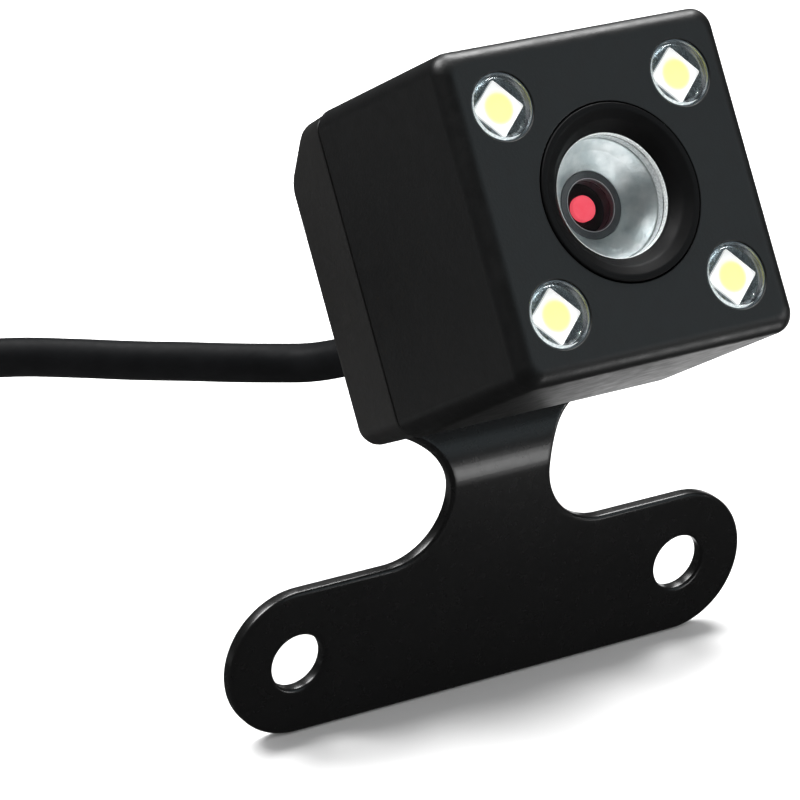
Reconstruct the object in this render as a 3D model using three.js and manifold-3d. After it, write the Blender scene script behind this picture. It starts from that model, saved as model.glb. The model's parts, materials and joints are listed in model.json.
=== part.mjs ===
// Vehicle backup camera: a cube-shaped housing with a lens and four lamps, on a bent sheet-steel bracket.
// Units are millimetres. World frame: X along the line of the two bracket holes, Y from the lens side
// to the back, Z up. The bracket sheet is centred on Y = 0 and its bottom edge stands on Z = 0.
// Housing frame: Y is the optical axis, Y = 0 is the front face, and the lens is on X = Z = 0.
import * as THREE from "three";
import { mergeVertices } from "three/addons/utils/BufferGeometryUtils.js";
import Module from "manifold-3d";

// ---- driving dimensions -------------------------------------------------------------------------
const GAP = 0.3; // left between pieces that touch
const WELD = 1e-4; // corners closer than this are one corner

// bracket
const SHEET = 1.2; // thickness of the steel
const HOLE_PITCH = 35; // between the two fastening holes
const HOLE_R = 2.25;
const BAR_R = 5.95; // half the height of the bar, and the radius of its ends
const NOTCH_R = 5.3; // round notch on each side of the neck
const NOTCH_X = 9.8;
const BEND_Z = 19.2; // height of the bend line in the neck
const BEND_GAP = 0.5; // clear length on each side of the bend line
const TAB_HALF_WIDTH = 10.4;
const TAB_CORNER_R = 1.8;
const TAB_TOP = 8.5; // housing frame
const NOSE_UP = THREE.MathUtils.degToRad(34.3); // pitch of the housing against the bracket's bar

// housing
const FACE_W = 24;
const FACE_H = 24.4;
const SEAM_W = 24.5; // the casing widens a little towards the seam
const SEAM_H = 24.9;
const SEAM_Y = 17.7;
const WALL = 1.4;
const FRONT_WALL = 1.8;
const COVER_Y = SEAM_Y + GAP;
const BACK_Y = 24.3;
const COVER_W = 24.4;
const TONGUE_W = 20.3; // inside the casing's back edge
const TONGUE_H = 21;
const TAB_Y = BACK_Y + GAP + SHEET / 2; // middle of the sheet behind the cover
const BEND_DROP = -14.5; // bend line in the housing frame

// lens
const BEZEL_R = 6.45;
const BEZEL_BORE_R = 6.6;
const GLASS_R = 4.55;
const RING_BORE_R = 4.6; // of the bezel ring, in front of the glass
const BARREL_R = 5.7;

// lamps
const LAMP_X = 7.65;
const LAMP_Z = 7.55;
const LAMP_R = 2.36;
const LAMP_BORE_R = 2.5;
const CHIP_SIDE = 3;

// fastening of the cover and of the bracket's tab
const SCREW_X = 8.2;
const SCREW_LOW = -9;
const SCREW_HIGH = 6.4;
const SCREW_R = 0.95;
const SCREW_BORE_R = 1.15;
const SCREW_HEAD_R = 1.7;
const SEAT_R = 1.7;
const POST_SIDE = 4.6;
const POST_Y = 8;

// cable
const CORD_D = 3.1;
const GLAND_Z = -3; // housing frame
const GLAND_END = 30.4;
const COIL_AT = [-40, 63];
const COIL_R = 17; // middle of the turns
const COIL_WIDE = 9.6;
const COIL_HIGH = 6.3;
const TIE_T = 0.4;
const COIL_LIFT = TIE_T + GAP;

// ---- solids -------------------------------------------------------------------------------------
const wasm = await Module();
wasm.setup();

// Merges shared corners, drops collapsed triangles and turns the faces outwards.
function closed(geometry) {
  const bare = new THREE.BufferGeometry();
  bare.setAttribute("position", geometry.getAttribute("position").clone());
  if (geometry.index) bare.setIndex(geometry.index.clone());
  const welded = mergeVertices(bare, WELD);
  const place = welded.getAttribute("position");
  const corners = [0, 1, 2].map(() => new THREE.Vector3());
  const kept = [];
  let volume = 0;
  for (let i = 0; i < welded.index.count; i += 3) {
    const [a, b, c] = [0, 1, 2].map((k) => welded.index.getX(i + k));
    if (a === b || b === c || c === a) continue;
    [a, b, c].forEach((corner, k) => corners[k].fromBufferAttribute(place, corner));
    volume += corners[0].dot(corners[1].clone().cross(corners[2]));
    kept.push([a, b, c]);
  }
  const turned = volume < 0 ? kept.map(([a, b, c]) => [a, c, b]) : kept;
  welded.setIndex(turned.flat());
  return welded;
}

function toSolid(geometry) {
  const body = closed(geometry);
  return new wasm.Manifold(
    new wasm.Mesh({
      numProp: 3,
      vertProperties: new Float32Array(body.getAttribute("position").array),
      triVerts: new Uint32Array(body.index.array),
    }),
  );
}

function toGeometry(solid) {
  const mesh = solid.getMesh();
  const geometry = new THREE.BufferGeometry();
  geometry.setAttribute("position", new THREE.BufferAttribute(new Float32Array(mesh.vertProperties), 3));
  geometry.setIndex(new THREE.BufferAttribute(new Uint32Array(mesh.triVerts), 1));
  return geometry;
}

function joined(...pieces) {
  return toGeometry(pieces.map(toSolid).reduce((all, piece) => all.add(piece)));
}

function cut(body, ...tools) {
  return toGeometry(tools.map(toSolid).reduce((left, tool) => left.subtract(tool), toSolid(body)));
}

// A piece turned about the Y axis from [radius, y] points.
function turned(profile, segments = 32) {
  return new THREE.LatheGeometry(
    profile.map(([r, y]) => new THREE.Vector2(r, y)),
    segments,
  );
}

function disc(radius, from, to, segments = 32) {
  return turned([[0, from], [radius, from], [radius, to], [0, to]], segments);
}

function ring(inner, outer, from, to, segments = 32) {
  return turned([[inner, from], [outer, from], [outer, to], [inner, to], [inner, from]], segments);
}

function block([w, d, h], [x, y, z]) {
  return new THREE.BoxGeometry(w, d, h).translate(x, y, z);
}

// Rounded rectangle in X and Z, as a closed list of points.
function outline({ w, top, bottom, r }, steps = 4) {
  const corners = [
    [w - r, top - r, 0],
    [r - w, top - r, 1],
    [r - w, bottom + r, 2],
    [w - r, bottom + r, 3],
  ];
  return corners.flatMap(([x, z, quarter]) =>
    Array.from({ length: steps + 1 }, (_, k) => {
      const angle = ((quarter + k / steps) * Math.PI) / 2;
      return [x + r * Math.cos(angle), z + r * Math.sin(angle)];
    }),
  );
}

// A solid through rounded rectangles at rising Y, with flat ends.
function loft(sections) {
  const rings = sections.map((section) => outline(section).map(([x, z]) => [x, section.y, z]));
  const count = rings[0].length;
  const points = rings.flat(2);
  const faces = [];
  for (let level = 0; level + 1 < rings.length; level += 1) {
    for (let k = 0; k < count; k += 1) {
      const [a, b] = [level * count + k, level * count + ((k + 1) % count)];
      faces.push(a, b, a + count, b, b + count, a + count);
    }
  }
  const last = (rings.length - 1) * count;
  for (let k = 1; k + 1 < count; k += 1) {
    faces.push(0, k + 1, k);
    faces.push(last, last + k, last + k + 1);
  }
  const geometry = new THREE.BufferGeometry();
  geometry.setAttribute("position", new THREE.Float32BufferAttribute(points, 3));
  geometry.setIndex(faces);
  return geometry;
}

// Rounded rectangle section centred on the lens axis.
function section(y, width, height, r) {
  return { y, w: width / 2, top: height / 2, bottom: -height / 2, r };
}

// A flat board or foot with rounded corners, centred on the lens axis.
function slab(width, height, r, from, to) {
  return loft([section(from, width, height, r), section(to, width, height, r)]);
}

// A flat piece cut from sheet: a shape in X and Z, from y back by depth.
function sheet(shape, y, depth, curveSegments = 10) {
  const geometry = new THREE.ExtrudeGeometry(shape, { depth, bevelEnabled: false, curveSegments });
  return geometry.rotateX(Math.PI / 2).translate(0, y + depth, 0);
}

function round(x, z, r) {
  return new THREE.Path().absarc(x, z, r, 0, 2 * Math.PI);
}

// A round cord through points.
function cord(points, diameter, steps, sides = 8) {
  const circle = Array.from({ length: sides }, (_, k) => {
    const angle = (2 * Math.PI * k) / sides;
    return new THREE.Vector2((diameter / 2) * Math.cos(angle), (diameter / 2) * Math.sin(angle));
  });
  const path = new THREE.CatmullRomCurve3(points.map((p) => new THREE.Vector3(...p)));
  return new THREE.ExtrudeGeometry(new THREE.Shape(circle), { steps, extrudePath: path });
}

// ---- scene graph --------------------------------------------------------------------------------
const camera = new THREE.Group();
const axis = new THREE.Vector3(1, 0, 0);
camera.rotation.x = -NOSE_UP;
camera.position
  .set(0, 0, BEND_Z)
  .sub(new THREE.Vector3(0, TAB_Y, BEND_DROP).applyAxisAngle(axis, -NOSE_UP));

const group = new THREE.Group();
group.add(camera);

const paint = (color, roughness, metalness = 0) =>
  new THREE.MeshStandardMaterial({ color, roughness, metalness, flatShading: true });
const looks = {
  casing: paint(0x1b1d1f, 0.5),
  cover: paint(0x242423, 0.55),
  enamel: paint(0x0c0c0d, 0.3, 0.3),
  steel: paint(0xb8babd, 0.3, 1),
  darkSteel: paint(0x2a2a2c, 0.4, 1),
  blackPlastic: paint(0x0b0b0c, 0.45),
  glass: paint(0xdfe6ea, 0.05),
  silver: paint(0xa9adb0, 0.35, 0.8),
  red: paint(0xc8283c, 0.2),
  board: paint(0x1c5a34, 0.6),
  chip: paint(0x141416, 0.5),
  white: paint(0xf2f2ee, 0.5),
  phosphor: paint(0xf4ec8c, 0.6),
  rubber: paint(0x101011, 0.8),
  cable: paint(0x0f0f10, 0.55),
  brass: paint(0xc9a350, 0.3, 1),
  redWire: paint(0xa81f1c, 0.5),
  yellowWire: paint(0xd9b522, 0.5),
};

function place(parent, name, geometry, material) {
  const mesh = new THREE.Mesh(closed(geometry), material);
  mesh.geometry.computeVertexNormals();
  mesh.name = name;
  parent.add(mesh);
  return mesh;
}

const corners = [
  [-1, 1],
  [1, 1],
  [-1, -1],
  [1, -1],
];
const screws = corners.map(([x, z]) => [x * SCREW_X, z > 0 ? SCREW_HIGH : SCREW_LOW]);

// ---- casing -------------------------------------------------------------------------------------
function frontHousing() {
  const edge = 1.3; // rounding of the front edges
  const soft = [0, 0.38, 0.75].map((turn) => {
    const back = edge * (1 - Math.sin((turn * Math.PI) / 2));
    const inset = edge * (1 - Math.cos((turn * Math.PI) / 2));
    return section(back, FACE_W - 2 * inset, FACE_H - 2 * inset, 1.5);
  });
  const front = section(0, FACE_W - 2 * edge, FACE_H - 2 * edge, 0.9);
  const shell = loft([front, ...soft.reverse(), section(SEAM_Y, SEAM_W, SEAM_H, 1.6)]);
  const hollow = loft([
    section(FRONT_WALL, FACE_W - 2 * WALL, FACE_H - 2 * WALL, 1),
    section(SEAM_Y + 1, SEAM_W - 2 * WALL, SEAM_H - 2 * WALL, 1),
  ]);
  const rebate = loft([
    section(SEAM_Y - 0.9, SEAM_W - 1.6, SEAM_H - 1.6, 1.2),
    section(SEAM_Y + 1, SEAM_W - 1.6, SEAM_H - 1.6, 1.2),
  ]);
  const posts = screws.map(([x, z]) => {
    const side = Math.sign(x);
    const level = Math.sign(z);
    const wall = [side * (SEAM_W / 2 - 0.9), level * (SEAM_H / 2 - 0.9)];
    const inner = [x - (side * POST_SIDE) / 2, z - (level * POST_SIDE) / 2];
    const size = [Math.abs(wall[0] - inner[0]), SEAM_Y - 1 - POST_Y, Math.abs(wall[1] - inner[1])];
    return block(size, [(wall[0] + inner[0]) / 2, (POST_Y + SEAM_Y - 1) / 2, (wall[1] + inner[1]) / 2]);
  });
  const bores = screws.map(([x, z]) => disc(SCREW_BORE_R, POST_Y + 2, SEAM_Y, 12).translate(x, 0, z));
  const lampBores = corners.map(([x, z]) =>
    disc(LAMP_BORE_R, -1, FRONT_WALL + 1, 28).translate(x * LAMP_X, 0, z * LAMP_Z),
  );
  const lensBore = disc(BEZEL_BORE_R, -1, FRONT_WALL + 1, 48);
  return cut(joined(cut(shell, hollow, rebate), ...posts), ...bores, ...lampBores, lensBore);
}

function rearCover() {
  const level = (y, width, top, bottom, r) => ({ y, w: width / 2, top, bottom, r });
  // The roof slants down to the back from a quarter of the cover's depth on.
  const shell = loft([
    level(COVER_Y, COVER_W, 12.3, -12.2, 1.5),
    level(20.7, COVER_W - 0.05, 12.2, -12.05, 1.5),
    level(21.3, COVER_W - 0.1, 11.75, -12, 1.5),
    level(23.6, COVER_W - 0.2, 9.6, -11.9, 1.5),
    level(24.1, COVER_W - 0.5, 9, -11.7, 1.4),
    level(BACK_Y, COVER_W - 1.2, 8.5, -11.3, 1.2),
  ]);
  const hollow = loft([
    section(COVER_Y - 3, TONGUE_W - 1.4, TONGUE_H - 1.4, 1),
    section(20.4, TONGUE_W - 1.4, TONGUE_H - 1.4, 1),
    level(BACK_Y - 1.5, TONGUE_W - 2.8, 7.4, -8.8, 1),
  ]);
  const tongue = loft([
    section(SEAM_Y - 0.55, TONGUE_W, TONGUE_H, 1),
    section(COVER_Y + 0.2, TONGUE_W, TONGUE_H, 1),
  ]);
  const seats = screws.map(([x, z]) => disc(SEAT_R, SEAM_Y - 0.5, BACK_Y - 0.5, 12).translate(x, 0, z));
  const bores = screws.map(([x, z]) => disc(SCREW_BORE_R, SEAM_Y - 2, BACK_Y + 1, 12).translate(x, 0, z));
  const glandBore = disc(3.2, BACK_Y - 3, BACK_Y + 1, 24).translate(0, 0, GLAND_Z);
  return cut(joined(cut(joined(shell, tongue), hollow), ...seats), ...bores, glandBore);
}

function coverGasket() {
  const outer = [SEAM_W - 2.2, SEAM_H - 2.2];
  const inner = [TONGUE_W + 2 * GAP, TONGUE_H + 2 * GAP];
  const [from, to] = [SEAM_Y - 0.6, SEAM_Y];
  const body = loft([section(from, ...outer, 1), section(to, ...outer, 1)]);
  return cut(body, loft([section(from - 1, ...inner, 0.8), section(to + 1, ...inner, 0.8)]));
}

place(camera, "front_housing", frontHousing(), looks.casing);
place(camera, "rear_cover", rearCover(), looks.cover);
place(camera, "cover_gasket", coverGasket(), looks.rubber);

// ---- lens ---------------------------------------------------------------------------------------
function bezelRing() {
  const profile = [
    [BEZEL_R, FRONT_WALL + 0.2],
    [BEZEL_R, 0],
    [6.3, -0.3],
    [6, -0.45],
    [5.7, -0.35],
    [5.4, 0],
    [4.85, 0.95],
    [RING_BORE_R, 1.1],
    [RING_BORE_R, 1.35],
    [4.85, 1.4],
    [4.85, FRONT_WALL + 0.2],
    [BEZEL_R, FRONT_WALL + 0.2],
  ];
  return turned(profile, 48);
}

const seal = ring(6.75, 7.6, FRONT_WALL + GAP, FRONT_WALL + 1);
const frontGlass = turned([[0, 0.95], [2.4, 1.08], [4.1, 1.4], [GLASS_R, 1.6], [GLASS_R, 1.9], [0, 1.9]], 40);
const cup = turned(
  [
    [GLASS_R, 2.2],
    [GLASS_R, 4.6],
    [2.5, 4.6],
    [2.5, 4.15],
    [2.95, 3.6],
    [3.7, 2.75],
    [4.35, 2.2],
    [GLASS_R, 2.2],
  ],
  40,
);
const barrel = turned(
  [
    [BARREL_R, FRONT_WALL + 0.6],
    [BARREL_R, 12.6],
    [3.2, 12.6],
    [3.2, 5.6],
    [2.75, 5.6],
    [2.75, 4.9],
    [4.85, 4.9],
    [4.85, FRONT_WALL + 0.6],
    [BARREL_R, FRONT_WALL + 0.6],
  ],
  40,
);
const darkRing = ring(1.95, 2.35, 4.1, 4.7);
const brightRing = ring(1.55, 1.85, 4.25, 4.7);
const innerGlass = turned([[0, 4.35], [0.8, 4.42], [1.45, 4.65], [1.45, 4.95], [0, 4.95]], 24);
const filter = disc(1.05, 5.2, 5.6, 24);
const middleGlass = turned([[0, 6.1], [2.6, 6.6], [2.9, 7.2], [0, 7.7]], 24);
const spacer = ring(2.2, 2.9, 7.9, 9.1, 24);
const rearGlass = turned([[0, 9.3], [2.9, 9.5], [2.9, 10.4], [0, 11]], 24);

place(camera, "lens_bezel_ring", bezelRing(), looks.blackPlastic);
place(camera, "lens_seal", seal, looks.rubber);
place(camera, "front_lens_element", frontGlass, looks.glass);
place(camera, "lens_cup", cup, looks.silver);
place(camera, "lens_barrel", barrel, looks.darkSteel);
place(camera, "inner_retaining_ring", darkRing, looks.blackPlastic);
place(camera, "aperture_ring", brightRing, looks.steel);
place(camera, "inner_lens_element", innerGlass, looks.glass);
place(camera, "infrared_filter", filter, looks.red);
place(camera, "middle_lens_element", middleGlass, looks.glass);
place(camera, "lens_spacer", spacer, looks.blackPlastic);
place(camera, "rear_lens_element", rearGlass, looks.glass);

// ---- sensor and main board ----------------------------------------------------------------------
function lensHolder() {
  const foot = block([11, 1.2, 13.2], [0, 13.6, 0]);
  const body = joined(disc(7, 7.4, 13.4, 32), foot);
  return cut(body, disc(BARREL_R + GAP / 2, 7, 12.9, 32), block([9, 3, 9], [0, 13.8, 0]));
}

function mainBoard() {
  const board = slab(20.2, 20.6, 1.2, 14.4, 15.4);
  const reliefs = screws.map(([x, z]) => {
    const [side, level] = [Math.sign(x), Math.sign(z)];
    return block([8, 3, 8], [side * (SCREW_X - 2.7 + 4), 14.9, level * (Math.abs(z) - 2.7 + 4)]);
  });
  return cut(board, ...reliefs);
}

place(camera, "lens_holder", lensHolder(), looks.blackPlastic);
place(camera, "image_sensor", block([6.4, 0.8, 5.6], [0, 13.6, 0]), looks.chip);
place(camera, "main_board", mainBoard(), looks.board);
place(camera, "video_chip", block([5, 0.9, 5], [-3, 16.15, 3.4]), looks.chip);
place(camera, "regulator_chip", block([2.9, 1.1, 1.6], [3.6, 16.25, 7.2]), looks.chip);
place(camera, "crystal", block([3.2, 0.8, 1.5], [3.2, 16.1, 4.2]), looks.steel);
place(camera, "capacitor", disc(1.5, 15.7, 18.7, 16).translate(-4.2, 0, 8.3), looks.silver);

// ---- plug for the leads inside the housing --------------------------------------------------------
const SOCKET_Z = -6.4;
function boardSocket() {
  const body = block([7.4, 3, 3.4], [0, 17.2, SOCKET_Z]);
  return cut(body, block([6, 2.4, 2.2], [0, 17.9, SOCKET_Z]));
}
place(camera, "board_socket", boardSocket(), looks.white);
place(camera, "board_plug", block([5.4, 2, 1.6], [0, 18.1, SOCKET_Z]), looks.white);
const leads = [
  ["wire_red", -1.6, looks.redWire],
  ["wire_black", 0, looks.rubber],
  ["wire_yellow", 1.6, looks.yellowWire],
];
leads.forEach(([name, x, look]) => {
  const route = [
    [x, 19.4, SOCKET_Z],
    [x, 19.9, SOCKET_Z + 0.3],
    [x * 0.75, 20.1, SOCKET_Z + 1.6],
    [x * 0.75, 20.1, GLAND_Z - 1],
    [x * 0.75, 20.3, GLAND_Z],
  ];
  place(camera, name, cord(route, 0.8, 12), look);
});

// ---- lamps --------------------------------------------------------------------------------------
const lampBoard = cut(slab(20.8, 21.2, 1.4, 2.3, 3.1), disc(7.9, 1, 4, 40));
place(camera, "lamp_board", lampBoard, looks.board);
corners.forEach(([x, z], index) => {
  const at = [x * LAMP_X, 0, z * LAMP_Z];
  const diamond = block([CHIP_SIDE, 1.1, CHIP_SIDE], [0, 1.45, 0]).rotateY(Math.PI / 4);
  const lens = [
    [0, -0.3],
    [1.2, -0.2],
    [2.1, 0.05],
    [LAMP_R, 0.3],
    [LAMP_R, 0.55],
    [0, 0.55],
  ];
  place(camera, `lamp_lens_${index + 1}`, turned(lens, 28).translate(...at), looks.glass);
  place(camera, `lamp_chip_${index + 1}`, diamond.translate(...at), looks.white);
  place(camera, `lamp_phosphor_${index + 1}`, disc(1.1, 0.7, 0.85, 20).translate(...at), looks.phosphor);
});

// ---- screws through the tab and the cover ---------------------------------------------------------
function caseScrew() {
  const start = POST_Y + 4;
  const under = TAB_Y + SHEET / 2 + 0.05;
  const body = turned(
    [
      [0, start],
      [0.35, start + 0.4],
      [SCREW_R, start + 1.2],
      [SCREW_R, under],
      [SCREW_HEAD_R, under],
      [SCREW_HEAD_R, under + 0.5],
      [1.25, under + 0.95],
      [0, under + 1.05],
    ],
    20,
  );
  const slots = [0, Math.PI / 2].map((turn) =>
    block([1.8, 0.9, 0.4], [0, under + 0.95, 0]).rotateY(turn),
  );
  return cut(body, ...slots);
}
screws.forEach(([x, z], index) => {
  place(camera, `case_screw_${index + 1}`, caseScrew().translate(x, 0, z), looks.steel);
});

// ---- bracket ------------------------------------------------------------------------------------
const notchZ = 2 * BAR_R + NOTCH_R;

function bracketBar() {
  const end = HOLE_PITCH / 2;
  const reach = Math.asin((BEND_Z - BEND_GAP - notchZ) / NOTCH_R);
  const shape = new THREE.Shape();
  shape.moveTo(-end, 0);
  shape.lineTo(end, 0);
  shape.absarc(end, BAR_R, BAR_R, -Math.PI / 2, Math.PI / 2);
  shape.lineTo(NOTCH_X, 2 * BAR_R);
  shape.absarc(NOTCH_X, notchZ, NOTCH_R, -Math.PI / 2, -Math.PI - reach, true);
  shape.absarc(-NOTCH_X, notchZ, NOTCH_R, reach, -Math.PI / 2, true);
  shape.lineTo(-end, 2 * BAR_R);
  shape.absarc(-end, BAR_R, BAR_R, Math.PI / 2, (3 * Math.PI) / 2);
  shape.holes.push(round(-end, BAR_R, HOLE_R), round(end, BAR_R, HOLE_R));
  return sheet(shape, -SHEET / 2, SHEET);
}

// The tab goes on from the bend line, up the back of the cover.
function bracketTab() {
  const notchCentre = BEND_DROP - (BEND_Z - notchZ);
  const start = Math.asin((BEND_Z + BEND_GAP - notchZ) / NOTCH_R);
  const low = notchCentre + NOTCH_R;
  const lip = TAB_HALF_WIDTH - NOTCH_X;
  const inner = TAB_HALF_WIDTH - TAB_CORNER_R;
  const shape = new THREE.Shape();
  shape.absarc(NOTCH_X, notchCentre, NOTCH_R, Math.PI - start, Math.PI / 2, true);
  shape.absarc(NOTCH_X, low + lip, lip, -Math.PI / 2, 0);
  shape.absarc(inner, TAB_TOP - TAB_CORNER_R, TAB_CORNER_R, 0, Math.PI / 2);
  shape.absarc(-inner, TAB_TOP - TAB_CORNER_R, TAB_CORNER_R, Math.PI / 2, Math.PI);
  shape.absarc(-NOTCH_X, low + lip, lip, Math.PI, (3 * Math.PI) / 2);
  shape.absarc(-NOTCH_X, notchCentre, NOTCH_R, Math.PI / 2, start, true);
  shape.holes.push(round(0, GLAND_Z, 4.3));
  screws.forEach(([x, z]) => shape.holes.push(round(x, z, SCREW_BORE_R)));
  return sheet(shape, TAB_Y - SHEET / 2, SHEET, 8);
}

place(group, "bracket_plate", bracketBar(), looks.enamel);
place(camera, "bracket_tab", bracketTab(), looks.enamel);

// ---- cable --------------------------------------------------------------------------------------
const gland = turned(
  [
    [0, BACK_Y - 2.5],
    [4.1, BACK_Y - 2.5],
    [4.1, BACK_Y - 1.5 - GAP],
    [2.95, BACK_Y - 1.5 - GAP],
    [2.95, BACK_Y + GAP],
    [4, BACK_Y + GAP],
    [4, TAB_Y + SHEET / 2 + 0.3],
    [3.4, TAB_Y + SHEET / 2 + 0.8],
    [2.1, GLAND_END],
    [0, GLAND_END],
  ],
  24,
);
place(camera, "cable_gland", gland.translate(0, 0, GLAND_Z), looks.rubber);

// From the gland out to the left, down to the ground and up to the side of the coil.
const CABLE_ROUTE = [
  [0, 11.02, 25.6],
  [-0.2, 13.0, 24.1],
  [-0.7, 15.0, 22.5],
  [-1.5, 16.9, 21.0],
  [-2.7, 18.8, 19.85],
  [-4.2, 20.7, 19],
  [-6.1, 22.5, 18.6],
  [-8.8, 24.4, 18.4],
  [-12, 26.5, 18.3],
  [-15.5, 28.7, 18.2],
  [-19.4, 31, 18.25],
  [-23.6, 33.2, 18.3],
  [-27.7, 35.2, 17.9],
  [-31.7, 36.7, 16.6],
  [-35.4, 37.9, 14.2],
  [-38.9, 38.7, 11.1],
  [-42.4, 39.3, 7.7],
  [-45.9, 40, 4.9],
  [-49.3, 40.9, 3.1],
  [-52.6, 42.3, 2.3],
];
place(group, "cable_run", cord(CABLE_ROUTE, CORD_D, 26), looks.cable);

const coilLow = COIL_LIFT;
const coilHigh = COIL_LIFT + COIL_HIGH;
const coil = turned(
  [
    [COIL_R - COIL_WIDE / 2, coilLow + 0.6],
    [COIL_R - COIL_WIDE / 2 + 0.6, coilLow],
    [COIL_R + COIL_WIDE / 2 - 0.6, coilLow],
    [COIL_R + COIL_WIDE / 2, coilLow + 0.6],
    [COIL_R + COIL_WIDE / 2, coilHigh - 0.6],
    [COIL_R + COIL_WIDE / 2 - 0.6, coilHigh],
    [COIL_R - COIL_WIDE / 2 + 0.6, coilHigh],
    [COIL_R - COIL_WIDE / 2, coilHigh - 0.6],
    [COIL_R - COIL_WIDE / 2, coilLow + 0.6],
  ],
  36,
);
place(group, "cable_coil", coil.rotateX(Math.PI / 2).translate(...COIL_AT, 0), looks.cable);

// From the top of the coil round into the plug, measured from the middle of the coil.
const END_ROUTE = [
  [-17.2, 0.5, 8.9],
  [-17.1, 5.0, 8.9],
  [-16.3, 10.1, 8.9],
  [-13.9, 14.1, 8.9],
  [-10.0, 16.5, 9.1],
  [-5.4, 17.1, 9.5],
  [-1.0, 15.8, 10.0],
  [2.4, 12.7, 10.6],
  [4.1, 9.2, 11.0],
  [4.5, 6.6, 11.2],
];
const endRoute = END_ROUTE.map(([x, y, z]) => [COIL_AT[0] + x, COIL_AT[1] + y, z]);
place(group, "cable_end", cord(endRoute, CORD_D, 10), looks.cable);

// A flat strap round the bundle of turns, at the right side of the coil.
function cableTie() {
  const width = 5;
  const room = [COIL_WIDE + 2 * GAP + 0.8, COIL_HIGH + 2 * GAP];
  const middle = [COIL_AT[0] + COIL_R, COIL_AT[1], COIL_LIFT + COIL_HIGH / 2];
  const outer = block([room[0] + 2 * TIE_T, width, room[1] + 2 * TIE_T], middle);
  return cut(outer, block([room[0], width + 2, room[1]], middle));
}
place(group, "cable_tie", cableTie(), looks.rubber);

// ---- jack plug, lying across the top of the coil ----------------------------------------------------
const PLUG_R = 3.9;
const PLUG_BACK = 13; // from the middle of the body to the cable's end of the sleeve
const plugTurn = THREE.MathUtils.degToRad(8);
const plug = new THREE.Group();
plug.rotation.z = plugTurn;
plug.position.set(
  COIL_AT[0] + 4.55 + PLUG_BACK * Math.sin(plugTurn),
  COIL_AT[1] + 6.2 - PLUG_BACK * Math.cos(plugTurn),
  coilHigh + GAP + PLUG_R,
);
group.add(plug);
const plugBody = turned(
  [
    [0, PLUG_BACK],
    [1.7, PLUG_BACK],
    [1.9, PLUG_BACK - 0.4],
    [2.6, 7.5],
    [3.3, 7],
    [PLUG_R, 5.5],
    [PLUG_R, -5],
    [3.5, -5.6],
    [2.2, -6],
    [0, -6],
  ],
  24,
);
place(plug, "plug_body", plugBody, looks.blackPlastic);
[
  ["plug_sleeve", 1.25, -10.2, -6.3],
  ["plug_ring_1", 1.25, -12.3, -10.5],
  ["plug_ring_2", 1.25, -14.4, -12.6],
].forEach(([name, r, from, to]) => place(plug, name, disc(r, from, to, 20), looks.brass));
const tip = turned([[0, -17.6], [0.55, -17.3], [1.2, -16.4], [0.85, -15.6], [1.25, -15.2], [1.25, -14.7], [0, -14.7]], 20);
place(plug, "plug_tip", tip, looks.brass);

export default group;
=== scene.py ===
"""A vehicle backup camera: a cube-shaped housing with a lens and four lamps, on a bent sheet-steel bracket.

Meshes are drawn in millimetres and made in metres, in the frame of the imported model: X runs along the two
bracket holes, Y from the lens side to the back, and Z up. Pieces of the housing are drawn in the housing's
own frame, where Y is the lens axis, the front face is at Y = 0 and the lens is on X = Z = 0.
"""
import json
import math

import bmesh
import bpy
from mathutils import Matrix, Vector
from mathutils.geometry import tessellate_polygon


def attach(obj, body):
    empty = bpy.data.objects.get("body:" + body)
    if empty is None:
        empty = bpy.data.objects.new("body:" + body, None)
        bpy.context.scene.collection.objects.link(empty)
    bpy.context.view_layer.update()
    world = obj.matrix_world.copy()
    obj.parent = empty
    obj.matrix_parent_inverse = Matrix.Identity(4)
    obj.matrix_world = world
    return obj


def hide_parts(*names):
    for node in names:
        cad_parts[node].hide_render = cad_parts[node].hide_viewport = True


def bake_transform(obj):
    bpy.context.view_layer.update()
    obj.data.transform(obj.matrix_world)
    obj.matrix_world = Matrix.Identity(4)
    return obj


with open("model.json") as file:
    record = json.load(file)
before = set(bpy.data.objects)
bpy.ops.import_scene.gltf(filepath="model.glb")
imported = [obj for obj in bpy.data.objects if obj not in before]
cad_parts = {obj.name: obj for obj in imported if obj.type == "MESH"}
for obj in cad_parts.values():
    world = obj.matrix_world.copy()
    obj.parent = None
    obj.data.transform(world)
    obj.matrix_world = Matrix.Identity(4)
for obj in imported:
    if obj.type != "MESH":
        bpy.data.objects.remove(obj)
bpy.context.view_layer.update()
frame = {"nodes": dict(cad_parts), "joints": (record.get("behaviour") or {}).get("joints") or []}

# ---- driving dimensions, in millimetres ---------------------------------------------------------
MM = 0.001
AXIS_POINT = 1e-6  # a profile point nearer the axis than this is on it

# bracket
SHEET = 1.2  # thickness of the steel
HOLE_X = 17.5
HOLE_R = 2.25
BAR_R = 5.95  # half the height of the bar, and the radius of its ends
NOTCH_R = 5.3  # round notch on each side of the neck
NOTCH_X = 9.8
NOTCH_Z = 2 * BAR_R + NOTCH_R
TAB_X = 10.4  # half the width of the tab behind the cover
TAB_R = 1.8
TAB_TOP = 8.5
TAB_SCREW_HOLE_R = 1.15
TAB_GLAND_HOLE_R = 4.3
LIP_R = TAB_X - NOTCH_X  # where the notch runs into the tab's side
BEND_R = 6.0  # of the middle of the sheet
SHEET_EDGE = 0.3  # rounding of the sheet's edges under the paint
NOSE_UP = math.radians(34.3)

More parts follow.
